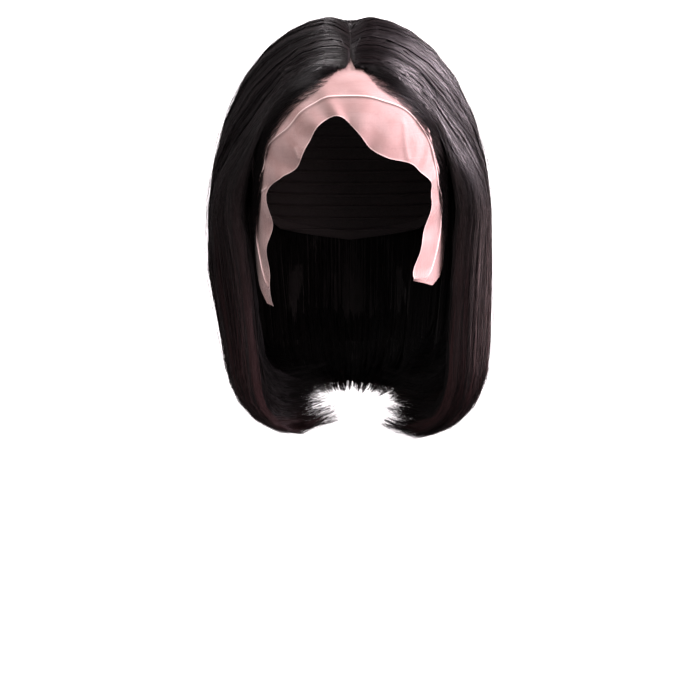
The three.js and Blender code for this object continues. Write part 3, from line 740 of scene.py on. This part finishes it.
def combStrands(place, layer, seed):
    rng = np.random.default_rng(seed)
    count, locks, wisps = layer["count"], layer["locks"], layer["wisps"]
    stations = np.array(strands["stations"])

    # The lock and the wisp that each strand lies in, and where it begins and ends
    across = rng.random(count)
    atEdge = rng.random(count) < layer["edgeShare"]
    across = np.where(atEdge, layer["edgeWidth"] * across ** strands["edgeCurve"], across)
    lock, middle, half = clumpsOf(rng, across, locks)
    wisp, wispMiddle, wispHalf = clumpsOf(rng, across, wisps)
    inLock = (across - middle) / half
    inWisp = (across - wispMiddle) / wispHalf
    lockLength = rng.uniform(layer["even"], 1, locks)[lock]
    lockSwing = rng.normal(0, layer["swing"], locks)[lock]
    lockTint = rng.random(locks)[lock]
    lockDepth = rng.random(locks)[lock]
    reach = lockLength * (1 - layer["pointed"] * inLock ** 2)
    reach = reach * (1 - strands["shorten"] * rng.random(count) ** strands["shortenCurve"])
    end = lerp(layer["shortest"], layer["longest"], reach)
    level = 1 - smoothstep(place(across)[1], 0, byFace["levelShare"])  # roots by the hairline lie level
    begin = byFace["rootSpread"] * level * rng.random(count)
    along = lerp(begin[:, None], end[:, None], stations)

    # Its way down the fall, drawn to the wisp's middle and gathered to the lock's tip
    toTip = smoothstep(stations, strands["tipFrom"], 1)
    gather = layer["clump"] * smoothstep(along, strands["gatherFrom"], 1) + layer["point"] * toTip
    gather = np.minimum(gather, strands["gatherMost"])
    draw = layer["draw"] * smoothstep(along, *strands["drawOver"]) * (1 - gather)
    loose = smoothstep(along, *strands["looseOver"])
    phase = rng.uniform(0, 2 * np.pi, (count, 2, 1))
    pitch = rng.uniform(*strands["waves"], (count, 2, 1))
    wander = layer["wander"] * rng.normal(0, 1, (count, 1)) * loose
    placed = across[:, None] + (middle - across)[:, None] * gather
    placed = placed + (wispMiddle - across)[:, None] * draw
    placed = placed + lockSwing[:, None] * smoothstep(along, strands["swingFrom"], 1)
    placed = placed + wander * np.sin(pitch[:, 0] * along * np.pi + phase[:, 0])
    side, share = place(placed)

    # How deep it lies under the outer form
    under = lerp(layer["high"], layer["deep"], rng.random(count) ** layer["bias"])
    under = under + layer["ridge"] * (inLock ** 2 + strands["wispRidge"] * inWisp ** 2)
    under = under + layer["sunk"] * lockDepth
    lift = smoothstep(along, *strands["liftOver"]) if layer["high"] < 0 else 1
    under = np.clip(under, layer["high"], 1)[:, None] * np.where(under[:, None] < 0, lift, 1)
    under = under + layer["waver"] * loose * np.sin(pitch[:, 1] * along * np.pi + phase[:, 1])
    points = hairPoint(side, share, along, np.minimum(under, 1))
    outward = outwardAt(side, share, along)
    depth = np.clip(under[:, -1], 0, 1)

    # Its tip, higher where it is deep, and flicked up
    early = rng.uniform(strands["earlyLeast"], 1, locks)[lock]
    early = layer["early"] * depth ** strands["earlyCurve"] * early
    tips = np.clip((stations - strands["flickFrom"]) / (1 - strands["flickFrom"]), 0, 1)
    flick = layer["flick"] * rng.uniform(strands["flickLeast"], 1, locks)[lock]
    points[..., 2] += flick[:, None] * tips ** 2
    points[..., 2] += early[:, None] * smoothstep(along, hairForm["domeEnd"], hairForm["fallEnd"])

    # Its root, and its way over the lace by the face
    onCap = partRoot(side[:, :1], share[:, :1])[2]
    risen = 1 - np.exp(-(along - begin[:, None]) / strands["rootRise"])
    risen = np.maximum(risen, level[:, None])
    points[..., 2] = lerp(onCap + strands["onCap"], points[..., 2], risen)
    ahead = np.minimum(rng.exponential(byFace["feather"], count), byFace["featherMost"])
    ahead = (ahead * (share[:, 0] < byFace["featherShare"]))[:, None]
    ahead = ahead * smoothstep(along, *byFace["featherFrom"])
    ahead = ahead * (1 - smoothstep(along, *byFace["featherTo"]))
    toFace = unit(headPoint(0.0, byFace["faceDrop"], 0) - points) - byFace["sink"] * outward
    points = points + toFace * (ahead - pullBack(share, along))[..., None]
    off = byFace["pressOff"] + byFace["pressMore"] * rng.random((count, 1))
    points = pressed(points, share, along, off)

    # Its looks
    tint = strandLook["lockTint"] * lockTint + strandLook["wispTint"] * rng.random(wisps)[wisp]
    tint = tint + strandLook["ownTint"] * rng.random(count)
    gloss = strandLook["lockGloss"] * rng.random(locks)[lock]
    gloss = gloss + strandLook["wispGloss"] * rng.random(wisps)[wisp]
    gloss = gloss + strandLook["ownGloss"] * rng.random(count)
    gloss = (strandLook["glossGain"] * gloss) ** strandLook["glossCurve"]
    gloss = gloss * lerp(1, strandLook["deepGloss"], smoothstep(depth, *strandLook["deepOver"]))
    gloss = glossAt(side, share, along, gloss)
    wispRoll, ownRoll = rng.normal(0, 1, wisps)[wisp], rng.normal(0, 1, count)
    roll = strands["roll"] * strands["rollShare"] * (wispRoll + ownRoll)
    strand = dict(points=points, outward=outward, along=along)
    return dict(strand, tint=tint, depth=depth, gloss=gloss, roll=roll), rng


def ribbonMesh(name, strand, width, rng):
    points, outward = strand["points"], strand["outward"]
    count, steps = points.shape[:2]
    run = unit(np.gradient(points, axis=1))
    aside = unit(np.cross(run, outward))
    facing = np.cross(aside, run)
    roll = strand["roll"][:, None, None]
    turned = aside * np.cos(roll) + facing * np.sin(roll)
    facing = facing * np.cos(roll) - aside * np.sin(roll)
    aside = turned
    widths = [strands["rootWidth"], 1, 1, strands["tipWidth"]]
    taper = np.interp(np.linspace(0, 1, steps), [0, *strands["fullWidth"], 1], widths)
    half = (width / 2 * (1 + strands["widthVary"] * rng.uniform(-1, 1, (count, 1))) * taper)[..., None]
    pair = np.stack([points - aside * half, points + aside * half], axis=2)
    lean = strands["round"] * aside
    normals = unit(np.stack([facing - lean, facing + lean], axis=2))
    first = (np.arange(count)[:, None] * steps + np.arange(steps - 1)) * 2
    quads = np.stack([first, first + 1, first + 3, first + 2], axis=-1).reshape(-1, 4)
    mesh = bpy.data.meshes.new(name)
    mesh.vertices.add(count * steps * 2)
    mesh.vertices.foreach_set("co", (pair * mm).ravel().astype(np.float32))
    mesh.loops.add(quads.size)
    mesh.loops.foreach_set("vertex_index", quads.ravel().astype(np.int32))
    mesh.polygons.add(len(quads))
    mesh.polygons.foreach_set("loop_start", np.arange(0, quads.size, 4, dtype=np.int32))
    mesh.update(calc_edges=True)
    for key in ("tint", "depth", "gloss", "along"):
        value = strand[key].reshape(count, -1, 1)
        spread = np.broadcast_to(value, (count, steps, 2)).ravel().astype(np.float32)
        mesh.attributes.new(key, "FLOAT", "POINT").data.foreach_set("value", spread)
    columns = math.ceil(math.sqrt(count))  # each strand has its own cell of the map for baked colours
    cell = np.stack([np.arange(count) % columns, np.arange(count) // columns], axis=-1)[:, None, None]
    inAcross = [strands["cellAcross"], 1 - strands["cellAcross"]]
    inAlong = np.linspace(strands["cellAlong"], 1 - strands["cellAlong"], steps)
    inCell = np.stack(np.meshgrid(inAcross, inAlong), axis=-1)
    setFlatMap(mesh, "OFBake", *((cell + inCell) / columns).reshape(-1, 2).T)
    return mesh, normals.reshape(-1, 3)


def makeStrands(name, strand, rng, width, node, material):
    mesh, normals = ribbonMesh(name, strand, width, rng)
    piece = newPiece(name, mesh, material, node)
    mesh.normals_split_custom_set_from_vertices(normals.tolist())
    print(piece.name, "triangles:", 2 * len(mesh.polygons))


# Layers of strands, from the thick of the hair to the smooth outside and the loose single hairs
bulkLayer = dict(
    count=5000, width=0.55, locks=34, wisps=96, edgeShare=0.1, edgeWidth=0.07,
    high=0.06, deep=1.0, bias=1.2, ridge=0.16, sunk=0.1, waver=0.04, wander=0.005,
    clump=0.4, draw=0.4, point=0.55, pointed=0.5, swing=0.010,
    shortest=0.86, longest=1.04, even=0.5, early=34, flick=16,
)
outerLayer = dict(
    count=4600, width=0.3, locks=46, wisps=110, edgeShare=0.1, edgeWidth=0.05,
    high=-0.08, deep=0.2, bias=1.0, ridge=0.1, sunk=0.06, waver=0.03, wander=0.004,
    clump=0.3, draw=0.45, point=0.65, pointed=0.5, swing=0.006,
    shortest=0.88, longest=1.04, even=0.5, early=0, flick=16,
)
backLayer = dict(
    bulkLayer, locks=60, wisps=200, edgeShare=0.0, high=-0.02,
    clump=0.1, draw=0.15, point=0.15, pointed=0.1, swing=0.004,
    shortest=0.9, longest=1.02, even=0.75, early=16, flick=3,
)
looseLayer = dict(
    count=170, width=0.17, locks=60, wisps=60, edgeShare=0.25, edgeWidth=0.08,
    high=-0.3, deep=0.1, bias=1.0, ridge=0, sunk=0, waver=0.12, wander=0.02,
    clump=0, draw=0, point=0, pointed=0, swing=0.03,
    shortest=0.8, longest=1.08, even=0.3, early=0, flick=10,
)
sideLayers = dict(bulk=bulkLayer, outer=outerLayer, loose=looseLayer)
backLayers = dict(bulk=backLayer, loose=looseLayer)
seeds = dict(first=11, perFall=10, shortHairs=71)

darkBody = bodyMaterial()
# One hair colour in three copies: warmer on the right fall as painted light, less warm on the left and in
# the back as painted shade
leftHair = hairMaterial("hair left", hairLook["warmLeftShaded"])
rightHair = hairMaterial("hair right", hairLook["warmRightLit"])
backHair = hairMaterial("hair back", hairLook["warmBackShaded"])
falls = [
    ("left", sidePlace(-1), hairBody["faceMargin"], sideLayers, "hair_left", "hair_side", leftHair),
    ("right", sidePlace(1), hairBody["faceMargin"], sideLayers, "hair_right", "hair_side", rightHair),
    ("back", backPlace, 0.0, backLayers, "hair_back", "hair_back", backHair),
]
for fall, (name, place, margin, layers, node, slot, material) in enumerate(falls):
    makeBody(f"hair_body_{name}", place, margin, node, darkBody)
    for turn, (kind, layer) in enumerate(layers.items()):
        seed = seeds["first"] + seeds["perFall"] * fall + turn
        strand, rng = combStrands(place, layer, seed)
        makeStrands(f"hair_{kind}_{name}", strand, rng, layer["width"], node, material)

# Short hairs tied into the lace ahead of the hairline, swept back into the fall
shortHairs = dict(
    count=3000, width=0.17, stations=7, first=0.0, last=0.38, spread=0.9, ahead=6.2, most=16,
    fromPart=(-0.02, 0.12), runOn=(0.02, 0.1), inFall=0.05, under=0.5, sweep=(0.8, 1.5),
    off=1.3, rise=3.2, riseVary=(0.3, 1.2), along=0.1, tint=0.6, gloss=0.3,
)


def combShortHairs(side, seed):
    rng = np.random.default_rng(seed)
    count = shortHairs["count"]
    begin = rng.random(count) ** shortHairs["spread"]
    begin = lerp(shortHairs["first"], shortHairs["last"], begin)
    ahead = np.minimum(rng.exponential(shortHairs["ahead"], count), shortHairs["most"])
    ahead = ahead * smoothstep(begin, *shortHairs["fromPart"]) - pullBack(0.0, begin)
    hairline = hairPoint(side, 0.0, begin, 1.0)
    face = headPoint(0.0, byFace["faceDrop"], 0)
    bearing, arc = onHead(hairline + unit(face - hairline) * ahead[:, None])
    runOn = rng.uniform(*shortHairs["runOn"], count)
    share = shortHairs["inFall"] * rng.random(count)
    endBearing, endArc = onHead(hairPoint(side, share, begin + runOn, shortHairs["under"]))
    way = np.linspace(0, 1, shortHairs["stations"])
    sweep = way ** rng.uniform(*shortHairs["sweep"], (count, 1))
    rise = shortHairs["rise"] * way * rng.uniform(*shortHairs["riseVary"], (count, 1))
    turned = lerp(bearing[:, None], endBearing[:, None], sweep)
    drop = dropAt(lerp(arc[:, None], endArc[:, None], way))
    points = headPoint(turned, drop, shortHairs["off"] + rise)
    outward = unit(points - np.array([0, headForm["axisY"], -headForm["crown"]]))
    along = np.tile(shortHairs["along"] * way, (count, 1))
    tint = rng.random(count) * shortHairs["tint"]
    roll = rng.normal(0, strands["roll"], count)
    strand = dict(points=points, outward=outward, along=along)
    return dict(strand, tint=tint, depth=0 * tint, gloss=shortHairs["gloss"] * tint, roll=roll), rng


tied = [(-1, "left", "hair_left", leftHair), (1, "right", "hair_right", rightHair)]
for side, name, node, material in tied:
    strand, rng = combShortHairs(side, seeds["shortHairs"] + side)
    makeStrands(f"hair_short_{name}", strand, rng, shortHairs["width"], node, material)
print("hair made")

# Stage: a pale sweep, soft lights and a quiet surround
stage = dict(
    floor=-520, flat=3200, sweep=900, top=4000, steps=64, sweepPoints=16, merge=0.01,
    colour=(0.9, 0.9, 0.9, 1), roughness=0.9, glow=(1, 1, 1, 1), glowStrength=1.0,
)
surround = dict(colour=(1, 0.87, 0.90, 1), strength=0.4)


def makeStage():
    bm = bmesh.new()
    profile = [(0, stage["floor"])]
    for angle in np.linspace(0, math.pi / 2, stage["sweepPoints"]):
        out = stage["flat"] + stage["sweep"] * math.sin(angle)
        profile.append((out, stage["floor"] + stage["sweep"] * (1 - math.cos(angle))))
    profile.append((stage["flat"] + stage["sweep"], stage["top"]))
    line = [bm.verts.new((x * mm, 0, z * mm)) for x, z in profile]
    edges = [bm.edges.new(pair) for pair in zip(line, line[1:])]
    bmesh.ops.spin(bm, geom=line + edges, cent=(0, 0, 0), axis=(0, 0, 1), angle=2 * math.pi,
                   steps=stage["steps"])
    bmesh.ops.remove_doubles(bm, verts=bm.verts, dist=stage["merge"] * mm)
    mesh = bpy.data.meshes.new("floor")
    bm.to_mesh(mesh)
    bm.free()
    mesh.polygons.foreach_set("use_smooth", np.ones(len(mesh.polygons), bool))
    floor = bpy.data.objects.new("floor", mesh)
    bpy.context.collection.objects.link(floor)
    material, thread, shader = newMaterial("pale floor")
    feed(thread, shader, {
        "Base Color": stage["colour"], "Roughness": stage["roughness"],
        "Emission Color": stage["glow"], "Emission Strength": stage["glowStrength"],
    })
    mesh.materials.append(material)
    floor.visible_glossy = False  # the sweep neither shows in the hair nor lights it
    floor.visible_diffuse = False
    floor.visible_shadow = False


lights = [
    dict(name="key", at=(1500, -300, 900), aim=(40, 0, -60), size=900, power=165, colour=(1, 0.83, 0.92)),
    dict(name="left", at=(-600, -100, 1400), aim=(-40, 0, -60), size=500, power=26, colour=(1, 0.92, 0.96)),
    dict(name="high", at=(-700, -1500, 1500), aim=(0, 0, -150), size=900, power=50, colour=(1, 0.95, 0.95)),
    dict(name="low", at=(1150, -1700, -250), aim=(60, 0, -200), size=600, power=10, colour=(1, 0.76, 0.78)),
    dict(name="rim", at=(1700, 500, -150), aim=(60, 0, -180), size=600, power=29, colour=(1, 0.72, 0.74)),
]


def makeLights():
    for row in lights:
        data = bpy.data.lights.new(row["name"], "AREA")
        data.size = row["size"] * mm
        data.energy = row["power"]
        data.color = row["colour"]
        light = bpy.data.objects.new(row["name"], data)
        light.location = [value * mm for value in row["at"]]
        away = np.array(row["at"], float) - np.array(row["aim"], float)
        flat = math.hypot(away[0], away[1])
        light.rotation_euler = (math.atan2(flat, away[2]), 0, math.atan2(away[0], -away[1]))
        bpy.context.collection.objects.link(light)
    world = bpy.data.worlds.new("surround")
    world.use_nodes = True
    background = world.node_tree.nodes["Background"]
    background.inputs["Color"].default_value = surround["colour"]
    background.inputs["Strength"].default_value = surround["strength"]
    bpy.context.scene.world = world
    bpy.context.scene.view_settings.view_transform = "Standard"


makeStage()
makeLights()
print("stage and lights made")
